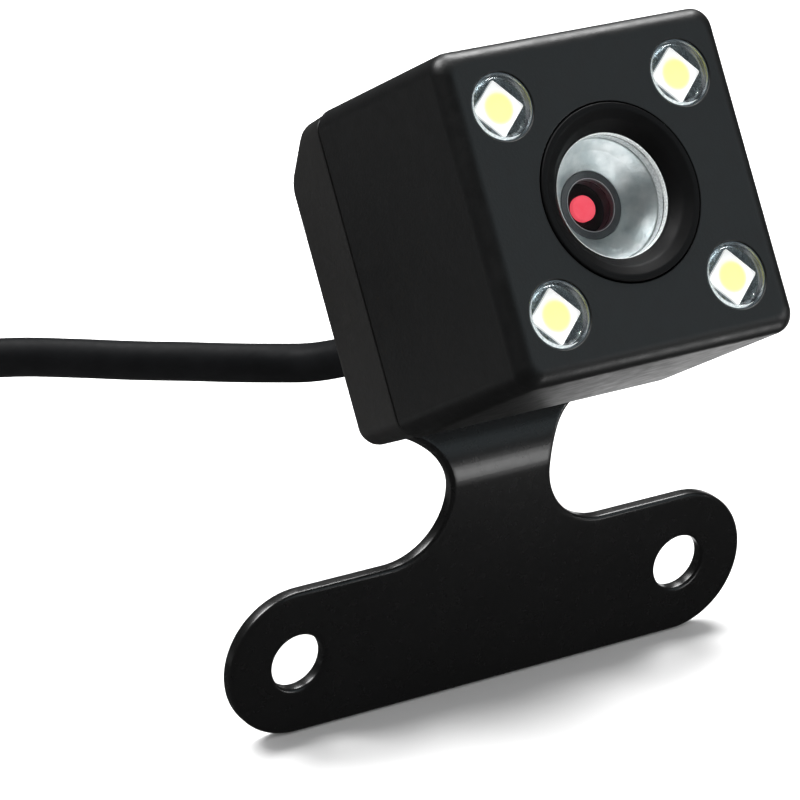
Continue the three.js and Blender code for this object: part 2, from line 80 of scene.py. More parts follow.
# housing, in its own frame
TAB_Y = 25.2  # middle of the sheet behind the cover
BEND_DROP = -14.5  # height of the bend line
FACE_W = 24.0
FACE_H = 24.4
FRONT_EDGE = 1.3  # rounding round the front face
CORNER_R = 1.5
WALL = 1.4
FRONT_WALL = 1.8
LAMP_BORE_R = 2.5
BEZEL_BORE_R = 6.6
COVER_Y = 18.0  # where the cover meets the casing
TONGUE_W = 20.3  # the cover's tongue inside the casing
TONGUE_TOP = 10.5
COVER_SCREW_HOLE_R = 1.15
COVER_GLAND_HOLE_R = 3.2
GLAND_Z = -3.0
QUARTET = (1, 2, 3, 4)  # numbers of the lamps, and of the screws

# cable
CORD_D = 3.1
COIL_X = -40.0  # middle of the coil
COIL_Y = 63.0

PIVOT = Vector(frame["joints"][0]["pos_m"])
BEND_Z = PIVOT.z / MM
WORLD = Matrix.Identity(4)
HOUSING = (
    Matrix.Translation(PIVOT)
    @ Matrix.Rotation(-NOSE_UP, 4, "X")
    @ Matrix.Translation(-MM * Vector((0, TAB_Y, BEND_DROP)))
)


def span(node, at=HOUSING):
    """Lowest and highest corners of a CAD node in a frame, in millimetres."""
    back = at.inverted()
    corners = [(back @ v.co) / MM for v in frame["nodes"][node].data.vertices]
    return Vector(map(min, zip(*corners))), Vector(map(max, zip(*corners)))


def middle(node, at=HOUSING):
    """The middle of a CAD node's box in a frame, in millimetres."""
    low, high = span(node, at)
    return (low + high) / 2


# ---- materials ----------------------------------------------------------------------------------
class Look:
    """A material with one Principled shader, and short ways to feed it. Sizes are in millimetres."""

    def __init__(self, name, values):
        self.material = bpy.data.materials.new(name)
        self.material.use_nodes = True
        self.tree = self.material.node_tree
        self.shader = self.tree.nodes["Principled BSDF"]
        self.coordinates = self.tree.nodes.new("ShaderNodeTexCoord").outputs["Object"]
        for socket, value in values.items():
            self.shader.inputs[socket].default_value = (*value, 1) if isinstance(value, tuple) else value

    def node(self, kind, inputs, output, **settings):
        made = self.tree.nodes.new(kind)
        for setting, value in settings.items():
            setattr(made, setting, value)
        for socket, value in inputs.items():
            if isinstance(value, bpy.types.NodeSocket):
                self.tree.links.new(value, made.inputs[socket])
            else:
                made.inputs[socket].default_value = value
        return made.outputs[output]

    def noise(self, size, detail=2.0):
        inputs = {"Vector": self.coordinates, "Scale": 1 / (size * MM), "Detail": detail}
        return self.node("ShaderNodeTexNoise", inputs, "Fac")

    def between(self, value, low, high, start=0.3, end=0.7):
        """A value that ran from start to end and now runs from low to high."""
        inputs = {"Value": value, "From Min": start, "From Max": end, "To Min": low, "To Max": high}
        return self.node("ShaderNodeMapRange", inputs, "Result")

    def blend(self, share, first, second):
        made = self.tree.nodes.new("ShaderNodeMix")
        made.data_type = "RGBA"
        colours = [socket for socket in made.inputs if socket.type == "RGBA"]
        for socket, colour in zip(colours, (first, second)):
            socket.default_value = (*colour, 1)
        self.tree.links.new(share, made.inputs["Factor"])
        return next(socket for socket in made.outputs if socket.type == "RGBA")

    def feed(self, socket, value):
        self.tree.links.new(value, self.shader.inputs[socket])
        return self

    def rough(self, value, low, high):
        return self.feed("Roughness", self.between(value, low, high))

    def coloured(self, value, first, second, start=0.3, end=0.7):
        share = self.between(value, 0, 1, start, end)
        return self.feed("Base Color", self.blend(share, first, second))

    def raised(self, height, depth):
        """Adds a bump as deep as depth millimetres to those before it."""
        inputs = {"Height": height, "Distance": depth * MM, "Strength": 1.0}
        if self.shader.inputs["Normal"].is_linked:
            inputs["Normal"] = self.shader.inputs["Normal"].links[0].from_socket
        return self.feed("Normal", self.node("ShaderNodeBump", inputs, "Normal"))


def moulded(name, first, second, roughness, grain, depth):
    """Spark-eroded moulded plastic: fine grain, patchy sheen and slightly uneven colour."""
    look = Look(name, {"Base Color": first, "IOR": 1.5})
    look.coloured(look.noise(4.0), first, second)
    look.rough(look.noise(1.2, 4), roughness - 0.05, roughness + 0.06)
    look.raised(look.noise(grain, 3), depth)
    return look.material


def enamel():
    """Black powder coat, smooth with a slight orange peel."""
    look = Look("black_enamel", {"Base Color": (0.0030, 0.0030, 0.0031), "IOR": 1.5})
    look.coloured(look.noise(5.0), (0.0028, 0.0028, 0.0029), (0.0036, 0.0036, 0.0037))
    look.rough(look.noise(0.8, 3), 0.25, 0.28)
    look.raised(look.noise(1.1, 1), 0.0015)
    return look.material


def metal(name, first, second, roughness, grain=0.05, depth=0.004):
    """Bare or plated metal, a little uneven in tint and sheen."""
    look = Look(name, {"Base Color": first, "Metallic": 1.0})
    look.coloured(look.noise(1.5, 4), first, second)
    look.rough(look.noise(0.3, 4), roughness - 0.06, roughness + 0.08)
    look.raised(look.noise(grain), depth)
    return look.material


def rubber(name, colour, roughness=0.7):
    """Dull black rubber or webbing, dusty in patches."""
    look = Look(name, {"Base Color": colour, "IOR": 1.48})
    lighter = tuple(1.6 * c for c in colour)
    look.coloured(look.noise(0.9, 5), colour, lighter, 0.4, 0.8)
    look.rough(look.noise(0.5, 3), roughness - 0.08, roughness + 0.08)
    look.raised(look.noise(0.12, 3), 0.008)
    return look.material


def jacket():
    """Extruded PVC, slightly wavy and with a fine grain."""
    look = Look("cable_jacket", {"Base Color": (0.0055, 0.0058, 0.0064), "IOR": 1.5,
                                 "Specular IOR Level": 0.06})
    look.coloured(look.noise(2.2, 4), (0.0042, 0.0045, 0.0050), (0.0062, 0.0065, 0.0072))
    look.rough(look.noise(0.6, 4), 0.50, 0.60)
    look.raised(look.noise(1.6), 0.05)
    look.raised(look.noise(0.15), 0.004)
    return look.material


def glass(name, ior):
    """Glass that casts no shadow, so that what is behind it is lit."""
    tint = (0.98, 0.99, 1.0)
    look = Look(name, {"Base Color": tint, "Roughness": 0.02, "IOR": ior, "Transmission Weight": 1.0})
    look.raised(look.noise(1.6, 1), 0.004)
    nodes, links = look.tree.nodes, look.tree.links
    clear = nodes.new("ShaderNodeBsdfTransparent")
    clear.inputs["Color"].default_value = (*tint, 1)
    ray = nodes.new("ShaderNodeLightPath")
    mix = nodes.new("ShaderNodeMixShader")
    links.new(ray.outputs["Is Shadow Ray"], mix.inputs[0])
    links.new(look.shader.outputs["BSDF"], mix.inputs[1])
    links.new(clear.outputs["BSDF"], mix.inputs[2])
    links.new(mix.outputs["Shader"], nodes["Material Output"].inputs["Surface"])
    return look.material


def bowl_silver():
    """Sprayed silver, brighter in patches, with a fine sparkle."""
    look = Look("bowl_silver", {"Base Color": (0.5, 0.54, 0.54), "Metallic": 0.75})
    look.coloured(look.noise(1.3, 5), (0.60, 0.67, 0.67), (0.84, 0.88, 0.87), 0.35, 0.65)
    look.rough(look.noise(0.5, 4), 0.34, 0.46)
    look.raised(look.noise(0.09, 3), 0.010)
    look.raised(look.noise(0.9, 3), 0.03)
    return look.material


def phosphor():
    """Yellow gel that pales into the white package towards its rim, brightened by a painted glow (emission)
    in the same colours.
    """
    core, rim = 0.90, 1.42  # radii in millimetres, yellow inside the one and white outside the other
    look = Look("phosphor_gel", {"Roughness": 0.42, "IOR": 1.45, "Emission Strength": 0.70})
    flat = look.node("ShaderNodeMapping", {"Vector": look.coordinates, "Scale": (1, 0, 1)}, "Vector")
    reach = look.node("ShaderNodeVectorMath", {0: flat}, "Value", operation="LENGTH")
    share = look.node(
        "ShaderNodeMapRange",
        {"Value": reach, "From Min": core * MM, "From Max": rim * MM},
        "Result",
        interpolation_type="SMOOTHSTEP",
    )
    colour = look.blend(share, (0.93, 0.90, 0.27), (0.90, 0.90, 0.88))
    look.feed("Base Color", colour)
    look.feed("Emission Color", colour)
    look.raised(look.noise(0.3, 3), 0.01)
    return look.material


def ground_glass_glow():
    """Ground or scratched glass, pale, with a painted glow (emission) in its speckled colour for the light it
    gathers.
    """
    look = Look("ground_glass_glow", {"Base Color": (0.9, 0.93, 0.93), "Roughness": 0.55, "IOR": 1.5,
                                 "Emission Strength": 0.18})
    share = look.between(look.noise(0.16, 4), 0, 1)
    speckle_and_glow = look.blend(share, (0.50, 0.55, 0.55), (0.88, 0.92, 0.91))
    look.feed("Base Color", speckle_and_glow)
    look.feed("Emission Color", speckle_and_glow)
    look.raised(look.noise(0.12, 3), 0.02)
    return look.material


def red_coat_and_glow():
    """The infrared filter's red: a red base colour, and over it a painted glow (emission) that gives most of
    its red reflection.
    """
    look = Look("red_filter", {"Base Color": (0.85, 0.08, 0.12), "Roughness": 0.25, "IOR": 1.5,
                               "Emission Color": (1.0, 0.10, 0.14), "Emission Strength": 0.78})
    look.coloured(look.noise(0.6, 3), (0.85, 0.05, 0.09), (0.92, 0.11, 0.16))
    return look.material


def package():
    """White moulded package of a lamp, brightened by a painted glow (emission) in its own white."""
    look = Look("lamp_package", {"Base Color": (0.9, 0.9, 0.88), "Roughness": 0.35, "IOR": 1.5,
                                 "Emission Color": (1.0, 1.0, 0.98), "Emission Strength": 0.55})
    look.coloured(look.noise(0.6, 3), (0.90, 0.90, 0.89), (0.86, 0.87, 0.86))
    look.raised(look.noise(0.2, 3), 0.006)
    return look.material


def plain(name, first, second, roughness, patch=1.0, grain=0.1, ior=1.5):
    """A smooth, even surface between two near colours, in patches of patch millimetres."""
    look = Look(name, {"Base Color": first, "IOR": ior})
    look.coloured(look.noise(patch, 4), first, second)
    look.rough(look.noise(patch / 2, 3), roughness - 0.05, roughness + 0.05)
    look.raised(look.noise(grain, 3), 0.003)
    return look.material


LOOKS = {
    # plastic, rubber and paint
    "casing": moulded("casing_plastic", (0.002, 0.0023, 0.0025), (0.0026, 0.0029, 0.0031), 0.42, 0.24, 0.012),
    "cover": moulded("cover_plastic", (0.0080, 0.0078, 0.0075), (0.0092, 0.0090, 0.0086), 0.46, 0.20, 0.010),
    "bezel_plastic": plain(
        "bezel_plastic", (0.0032, 0.0033, 0.0035), (0.0038, 0.0039, 0.0042), 0.5, 3.0, ior=1.2
    ),
    "black_plastic": moulded(
        "black_plastic", (0.0060, 0.0060, 0.0063), (0.0080, 0.0080, 0.0083), 0.38, 0.10, 0.006
    ),
    "white_plastic": plain("white_plastic", (0.86, 0.86, 0.84), (0.80, 0.80, 0.78), 0.42),
    "enamel": enamel(),
    "rubber": rubber("black_rubber", (0.009, 0.009, 0.0095)),
    "strap": rubber("woven_strap", (0.011, 0.011, 0.0115), 0.85),
    "cable_jacket": jacket(),
    "red_wire": plain("red_insulation", (0.45, 0.02, 0.015), (0.52, 0.03, 0.02), 0.45),
    "yellow_wire": plain("yellow_insulation", (0.72, 0.50, 0.03), (0.78, 0.56, 0.05), 0.45),
    # metal
    "steel": metal("zinc_plated_steel", (0.62, 0.63, 0.65), (0.50, 0.51, 0.53), 0.28),
    "dark_metal": plain("blackened_barrel", (0.0030, 0.0030, 0.0032), (0.0040, 0.0040, 0.0042), 0.6),
    "ring_grey": plain("anodised_ring", (0.085, 0.092, 0.096), (0.10, 0.108, 0.112), 0.45, 0.5),
    "ring_bright": plain("turned_edge", (0.75, 0.77, 0.78), (0.65, 0.67, 0.68), 0.3, 0.5),
    "silver": metal("can_aluminium", (0.55, 0.56, 0.57), (0.42, 0.43, 0.44), 0.36, 0.06, 0.008),
    "contact": metal("gold_plating", (0.78, 0.58, 0.27), (0.70, 0.50, 0.22), 0.22),
    # optics and lamps
    "glass": glass("clear_glass", 1.45),
    "coated_glass": glass("coated_glass", 1.12),
    "ground_glass_glow": ground_glass_glow(),
    "bowl": bowl_silver(),
    "red": red_coat_and_glow(),
    "tray": metal("lamp_tray", (0.17, 0.21, 0.225), (0.24, 0.28, 0.30), 0.24, 0.2),
    "mirror": metal("lamp_reflector", (0.20, 0.21, 0.22), (0.16, 0.17, 0.18), 0.14, 0.2),
    "package": package(),
    "phosphor": phosphor(),
    # electronics and stage
    "board": plain("green_board", (0.010, 0.085, 0.030), (0.014, 0.11, 0.040), 0.35, 2.0),
    "chip": plain("chip_resin", (0.016, 0.016, 0.017), (0.024, 0.024, 0.025), 0.55),
    "floor": plain("pale_floor", (0.86, 0.86, 0.86), (0.88, 0.88, 0.88), 0.8, 60.0, 2.0),
}


# ---- drawing ------------------------------------------------------------------------------------
def arc(centre, radius, start, end, steps=24):
    """Points on an arc between two angles in degrees, both ends included."""
    angles = [math.radians(start + (end - start) * k / steps) for k in range(steps + 1)]
    return [(centre[0] + radius * math.cos(a), centre[1] + radius * math.sin(a)) for a in angles]


def rounded(points, closed=False, steps=6):
    """A line whose corners are arcs: each point is (a, b), or (a, b, radius) where the corner is round."""
    corners = [Vector(p[:2]) for p in points]
    radii = [p[2] if len(p) > 2 else 0 for p in points]
    last = len(points) - 1
    line = []
    for k, (corner, radius) in enumerate(zip(corners, radii)):
        if radius == 0 or (not closed and k in (0, last)):
            line.append(tuple(corner))
            continue
        into = (corner - corners[k - 1]).normalized()
        out = (corners[(k + 1) % len(points)] - corner).normalized()
        turn = into.angle(out)
        centre = corner + (out - into).normalized() * radius / math.cos(turn / 2)
        reach = radius * math.tan(turn / 2)
        first, second = corner - into * reach - centre, corner + out * reach - centre
        for step in range(steps + 1):
            share = step / steps
            spoke = first * math.sin((1 - share) * turn) + second * math.sin(share * turn)
            line.append(tuple(centre + spoke / math.sin(turn)))
    return line


def bridge(mesh, first, second):
    """Faces between two rings of vertices. A ring of one vertex is a point."""
    count = max(len(first), len(second))
    for k in range(count):
        a, b = first[k % len(first)], first[(k + 1) % len(first)]
        c, d = second[(k + 1) % len(second)], second[k % len(second)]
        mesh.faces.new(dict.fromkeys((a, b, c, d)))


def lathe(profile, closed=False, segments=96, offset=(0, 0)):
    """A bmesh turned about the Y axis from (radius, y) points."""
    mesh = bmesh.new()
    rings = []
    for radius, y in profile:
        count = 1 if radius < AXIS_POINT else segments
        angles = [2 * math.pi * k / count for k in range(count)]
        rings.append([
            mesh.verts.new((offset[0] + radius * math.cos(a), y, offset[1] + radius * math.sin(a)))
            for a in angles
        ])
    pairs = list(zip(rings, rings[1:])) + ([(rings[-1], rings[0])] if closed else [])
    for first, second in pairs:
        bridge(mesh, first, second)
    return mesh


def rectangle(width, top, bottom, radius, steps=10):
    """A rounded rectangle in X and Z, anticlockwise."""
    half = width / 2 - radius
    high, low = top - radius, bottom + radius
    corners = [(half, high), (-half, high), (-half, low), (half, low)]
    quarters = [arc(corner, radius, 90 * k, 90 * k + 90, steps) for k, corner in enumerate(corners)]
    return [point for quarter in quarters for point in quarter]


def loft(sections, steps=10):
    """A solid through rounded rectangles (y, width, top, bottom, radius) at rising y, with flat ends."""
    mesh = bmesh.new()
    rings = [
        [mesh.verts.new((x, y, z)) for x, z in rectangle(width, top, bottom, radius, steps)]
        for y, width, top, bottom, radius in sections
    ]
    for first, second in zip(rings, rings[1:]):
        bridge(mesh, first, second)
    mesh.faces.new(rings[0])
    mesh.faces.new(rings[-1])
    return mesh


def block(size, at, turn):
    """A box turned about the Y axis."""
    mesh = bmesh.new()
    bmesh.ops.create_cube(mesh, size=1, matrix=Matrix.Diagonal((*size, 1)))
    mesh.transform(Matrix.Translation(at) @ Matrix.Rotation(turn, 4, "Y"))
    return mesh


def together(meshes):
    """One bmesh that holds several."""
    whole = bmesh.new()
    for mesh in meshes:
        bmesh.ops.recalc_face_normals(mesh, faces=mesh.faces)
        held = bpy.data.meshes.new("part")
        mesh.to_mesh(held)
        mesh.free()
        whole.from_mesh(held)
        bpy.data.meshes.remove(held)
    return whole


def as_object(name, mesh):
    """A new object in the scene from a bmesh, which it uses up."""
    bmesh.ops.recalc_face_normals(mesh, faces=mesh.faces)
    data = bpy.data.meshes.new(name)
    mesh.to_mesh(data)
    mesh.free()
    obj = bpy.data.objects.new(name, data)
    bpy.context.scene.collection.objects.link(obj)
    return obj


def settled(obj):
    """Applies an object's modifiers to its mesh."""
    bpy.context.view_layer.update()
    data = bpy.data.meshes.new_from_object(obj.evaluated_get(bpy.context.evaluated_depsgraph_get()))
    obj.modifiers.clear()
    obj.data = data
    return obj


def carved(mesh, cutters, operation="DIFFERENCE"):
    """A bmesh with others cut out of it, or joined to it."""
    body, tool = as_object("body", mesh), as_object("tool", together(cutters))
    cut = body.modifiers.new("cut", "BOOLEAN")
    cut.operation, cut.object, cut.solver = operation, tool, "EXACT"
    cut.use_self = True
    settled(body)
    result = bmesh.new()
    result.from_mesh(body.data)
    for obj in (body, tool):
        bpy.data.objects.remove(obj)
    return result


def piece(name, mesh, slot, body, stands_for=(), at=HOUSING, sharp=40, look=None):
    """A finished piece of the object, from a bmesh in millimetres in the frame at."""
    mesh.transform(Matrix.Scale(MM, 4))
    obj = as_object(name, mesh)
    obj.matrix_world = at
    obj.data.materials.append(LOOKS[look or slot])
    obj.data.shade_smooth()
    obj.data.set_sharp_from_angle(angle=math.radians(sharp))
    normals = obj.modifiers.new("normals", "WEIGHTED_NORMAL")
    normals.keep_sharp = True
    settled(obj)
    if stands_for:
        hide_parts(*stands_for)
    if body:
        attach(obj, body)
    return obj


def turned(name, profile, slot, look, stands_for=(), at=HOUSING, segments=96, closed=False):
    """A piece of the camera turned about the Y axis of the frame at."""
    return piece(name, lathe(profile, closed, segments), slot, "camera", stands_for, at, look=look)


def beside(x, z):
    """The housing's frame, moved to x and z."""
    return HOUSING @ Matrix.Translation(MM * Vector((x, 0, z)))


def placed(place, aim, front):
    """The matrix of an object at place whose front axis looks at aim."""
    turn = (Vector(aim) - Vector(place)).to_track_quat(front, "Y").to_matrix().to_4x4()
    return Matrix.Translation(place) @ turn


def repaint(node, look):
    """Gives a CAD node that stays its finish."""
    obj = frame["nodes"][node]
    obj.data.materials.clear()
    obj.data.materials.append(LOOKS[look])


# ---- camera ---------------------------------------------------------------------------------------
def viewpoint():
    """From the front left and above, with a long lens, a little rolled."""
    data = bpy.data.cameras.new("viewpoint")
    data.lens = 190
    data.sensor_width = 36
    data.clip_start = 0.01
    data.clip_end = 20
    obj = bpy.data.objects.new("viewpoint", data)
    bpy.context.scene.collection.objects.link(obj)
    place, aim = (-0.1661, -0.2331, 0.1592), (-0.0159, -0.0098, 0.0313)
    obj.matrix_world = placed(place, aim, "-Z") @ Matrix.Rotation(math.radians(3.08), 4, "Z")
    bpy.context.scene.camera = obj


viewpoint()

# ---- cable ----------------------------------------------------------------------------------------
# From the gland out to the left, down to the ground and up to the side of the coil.
CABLE_ROUTE = [
    (0, 11.02, 25.6),
    (-0.2, 13.0, 24.1),
    (-0.7, 15.0, 22.5),
    (-1.5, 16.9, 21.0),
    (-2.7, 18.8, 19.85),
    (-4.2, 20.7, 19),
    (-6.1, 22.5, 18.6),
    (-8.8, 24.4, 18.4),
    (-12, 26.5, 18.3),
    (-15.5, 28.7, 18.2),
    (-19.4, 31, 18.25),
    (-23.6, 33.2, 18.3),
    (-27.7, 35.2, 17.9),
    (-31.7, 36.7, 16.6),
    (-35.4, 37.9, 14.2),
    (-38.9, 38.7, 11.1),
    (-42.4, 39.3, 7.7),
    (-45.9, 40, 4.9),
    (-49.3, 40.9, 3.1),
    (-52.6, 42.3, 2.3),
]
# From the top of the coil round into the plug, measured from the middle of the coil.
END_ROUTE = [
    (-17.2, 0.5, 8.9),
    (-17.1, 5.0, 8.9),
    (-16.3, 10.1, 8.9),
    (-13.9, 14.1, 8.9),
    (-10.0, 16.5, 9.1),
    (-5.4, 17.1, 9.5),
    (-1.0, 15.8, 10.0),
    (2.4, 12.7, 10.6),
    (4.1, 9.2, 11.0),
    (4.5, 6.6, 11.2),
]
LAPS = (13.9, 17.0, 20.1)  # radii of the turns that lie beside each other
LOW, HIGH, TOP = 2.25, 5.35, 8.6  # heights of the turns that lie on each other
# Where the winding changes: turns from its start, then radius and height from there.
WINDING = [
    (0.0, math.hypot(CABLE_ROUTE[-1][0] - COIL_X, CABLE_ROUTE[-1][1] - COIL_Y), CABLE_ROUTE[-1][2]),
    (0.16, LAPS[2], LOW),
    (1.0, LAPS[2], LOW),
    (1.12, LAPS[1], LOW),
    (2.0, LAPS[1], LOW),
    (2.12, LAPS[0], LOW),
    (2.85, LAPS[0], LOW),
    (3.0, LAPS[0], HIGH),
    (3.73, LAPS[0], HIGH),
    (3.85, LAPS[1], HIGH),
    (4.73, LAPS[1], HIGH),
    (4.85, LAPS[2], HIGH),
    (5.5, LAPS[2], HIGH),
    (5.7, LAPS[2], TOP),
    (5.78, LAPS[2], TOP),
    (6.1, 17.3, TOP),
]


def eased(share):
    """A share from 0 to 1 that starts and ends slowly."""
    return share * share * (3 - 2 * share)


def winding():
    """The coil's turns, clockwise from above, as points in millimetres."""
    steps = 36  # points in a turn
    circle = 2 * math.pi
    start = math.atan2(CABLE_ROUTE[-1][1] - COIL_Y, CABLE_ROUTE[-1][0] - COIL_X)
    finish = math.atan2(END_ROUTE[0][1], END_ROUTE[0][0])
    turns = 6 + (start - finish) % circle / circle
    points = []
    for k in range(1, int(turns * steps)):
        turn = k / steps
        after = next((stop for stop in WINDING if stop[0] >= turn), WINDING[-1])
        before = [stop for stop in WINDING if stop[0] < turn][-1]
        room = after[0] - before[0]
        share = eased(min(1, (turn - before[0]) / room)) if room > 0 else 1
        radius = before[1] + (after[1] - before[1]) * share
        height = before[2] + (after[2] - before[2]) * share
        angle = start - circle * turn
        points.append((COIL_X + radius * math.cos(angle), COIL_Y + radius * math.sin(angle), height))
    return points


def smooth_line(points, step):
    """A Catmull-Rom line through points, with about step millimetres between its own."""
    points = [Vector(p) for p in points]
    padded = [2 * points[0] - points[1], *points, 2 * points[-1] - points[-2]]
    line = []
    for a, b, c, d in zip(padded, padded[1:], padded[2:], padded[3:]):
        count = max(1, round((c - b).length / step))
        for k in range(count):
            t = k / count
            line.append(0.5 * ((2 * b) + (c - a) * t + (2 * a - 5 * b + 4 * c - d) * t * t
                               + (3 * b - a - 3 * c + d) * t * t * t))
    return [*line, points[-1]]


def tube(line, radius, sides=20):
    """A bmesh tube along a line, with closed ends. Its section doesn't twist."""
    mesh = bmesh.new()
    ahead = (line[1] - line[0]).normalized()
    across = ahead.orthogonal().normalized()
    rings = []
    for k, point in enumerate(line):
        following = (line[min(k + 1, len(line) - 1)] - line[max(k - 1, 0)]).normalized()
        across = ahead.rotation_difference(following) @ across
        ahead = following
        up = ahead.cross(across)
        angles = [2 * math.pi * side / sides for side in range(sides)]
        rings.append([
            mesh.verts.new(point + radius * (across * math.cos(a) + up * math.sin(a))) for a in angles
        ])
    for first, second in zip(rings, rings[1:]):
        bridge(mesh, first, second)
    mesh.faces.new(rings[0])
    mesh.faces.new(rings[-1])
    return mesh


def plug_pieces():
    """The jack plug on the end of the cord and the strap round the coil, in a list."""
    turn, back = math.radians(8), 13.0  # from the middle of the body to the cord's end of it
    place = Vector((
        COIL_X + 4.55 + back * math.sin(turn),
        COIL_Y + 6.2 - back * math.cos(turn),
        middle("plug_body", WORLD).z,
    ))
    at = Matrix.Translation(MM * place) @ Matrix.Rotation(turn, 4, "Z")
    grip, pole = 3.9, 1.25  # radii
    front, gap = -6.0, 0.3  # front end of the body, and length of each ring of insulation

    relief = []
    for k in range(5):
        y, r = back - 1.2 - 0.95 * k, 2.05 + 0.12 * k
        relief += [(r, y, 0.08), (r, y - 0.5, 0.08), (r - 0.4, y - 0.55, 0.05), (r - 0.35, y - 0.9, 0.05)]
    grooves = []
    for k in range(5):
        y, r = 3.4 - 1.4 * k, grip - 0.35
        grooves += [(grip, y + 0.35, 0.12), (r, y + 0.1, 0.1), (r, y - 0.3, 0.1), (grip, y - 0.55, 0.12)]
    body = rounded([
        (0, back), (1.75, back), (1.95, back - 0.4, 0.1), *relief,
        (2.6, 7.5, 0.3), (3.3, 7.0, 0.3), (grip, 5.5, 0.6), *grooves,
        (grip, -5.0, 0.4), (3.5, -5.6, 0.2), (2.2, front, 0.1), (0, front),
    ], steps=4)
    made = [piece("plug_grip", lathe(body), "black_plastic", "bracket", ("plug_body",), at)]

    ends = {"sleeve": (-6.3, -10.2), "ring_1": (-10.5, -12.3), "ring_2": (-12.6, -14.4)}
    contacts = {name: [(0, a), (pole, a), (pole, b), (0, b)] for name, (a, b) in ends.items()}
    contacts["tip"] = rounded([
        (0, -14.7), (pole, -14.7), (pole, -15.2, 0.1), (0.85, -15.6, 0.3), (1.2, -16.4, 0.3),
        (0.55, -17.3, 0.3), (0, -17.6),
    ])
    for name, profile in contacts.items():
        contact = lathe(profile, segments=64)
        made.append(piece(f"contact_{name}", contact, "contact", "bracket", (f"plug_{name}",), at))
    waist = pole - 0.06
    gaps = together([
        lathe([(0, y), (waist, y), (waist, y - gap), (0, y - gap)], segments=64)
        for y in (front, *[end for _, end in ends.values()])
    ])
    made.append(piece("contact_insulation", gaps, "black_plastic", "bracket", (), at))
    return [*made, strap()]


def strap():
    """A hook-and-loop strap round the turns, with its end lapped over the top."""
    low, high = span("cable_tie", WORLD)
    centre, size = (low + high) / 2, high - low
    width, top, reach = size.x, size.z / 2, size.y / 2
    thick, corner = 0.75, 1.6

    def band(inset, far):
        section = (width - 2 * inset, top - inset, inset - top, corner - inset)
        return loft([(-far, *section), (far, *section)], 12)

    loop = carved(band(0.02, reach), [band(thick, reach + 1)])
    section = (width * 0.72, top + 0.25, top - 0.2, 0.2)
    lap = loft([(0.15 - reach, *section), (reach - 0.15, *section)], 6)
    for mesh in (loop, lap):
        mesh.transform(Matrix.Translation(centre))
    lap.transform(Matrix.Translation((0.1 * width, 0, 0)))
    return piece("strap", together([loop, lap]), "rubber", "bracket", ("cable_tie",), WORLD, look="strap")


def cable():
    """The whole cord in one tube: run, coil and end."""
    end = [(COIL_X + x, COIL_Y + y, z) for x, y, z in END_ROUTE]
    line = smooth_line([*CABLE_ROUTE, *winding(), *end], 1.0)
    made = piece(
        "cable",
        tube(line, CORD_D / 2),
        "cable_jacket",
        None,
        ("cable_run", "cable_coil", "cable_end"),
        WORLD,
    )
    plug_pieces()
    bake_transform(made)


cable()


# ---- casing ---------------------------------------------------------------------------------------
def bore(radius, x, z, edge=0.09):
    """A cutter for a hole through the front wall, with a softened mouth."""
    mouth = [(radius + edge * (1 - math.sin(a)), edge * (1 - math.cos(a)))
             for a in (math.radians(15 * k) for k in range(7))]
    profile = [(0, -1), (radius + edge, -1), *mouth, (radius, FRONT_WALL + 1), (0, FRONT_WALL + 1)]
    return lathe(profile, segments=96, offset=(x, z))


def casing():
    """The front housing: a box that widens towards its open back, with the bores for lens and lamps."""
    low, high = span("front_housing")
    soft = []
    for k in range(11):
        turn = math.radians(9 * k)
        inset = FRONT_EDGE * (1 - math.sin(turn))
        soft.append((FRONT_EDGE * (1 - math.cos(turn)), FACE_W - 2 * inset, FACE_H / 2 - inset,
                     inset - FACE_H / 2, CORNER_R - 0.55 * inset))
    lip, rebate = 0.15, 0.8  # softened back edge, and the thinner wall round the cover's tongue
    seam_width = high.x - low.x
    shell = loft([
        *soft,
        (high.y - lip, seam_width, high.z, low.z, CORNER_R + 0.1),
        (high.y, seam_width - lip, high.z - lip / 2, low.z + lip / 2, CORNER_R),
    ])
    socket = (seam_width - 2 * rebate, high.z - rebate, low.z + rebate, 1.2)
    hollow = loft([
        (FRONT_WALL, FACE_W - 2 * WALL, FACE_H / 2 - WALL, WALL - FACE_H / 2, 1),
        (high.y - 0.9, seam_width - 2 * WALL, high.z - WALL, low.z + WALL, 1),
        (high.y - 0.89, *socket),
        (high.y + 1, *socket),
    ])
    lamps = [middle(f"lamp_lens_{number}") for number in QUARTET]
    bores = [bore(LAMP_BORE_R, lamp.x, lamp.z) for lamp in lamps]
    whole = carved(shell, [hollow, bore(BEZEL_BORE_R, 0, 0), *bores])
    piece("casing", whole, "casing", "camera", ("front_housing",))


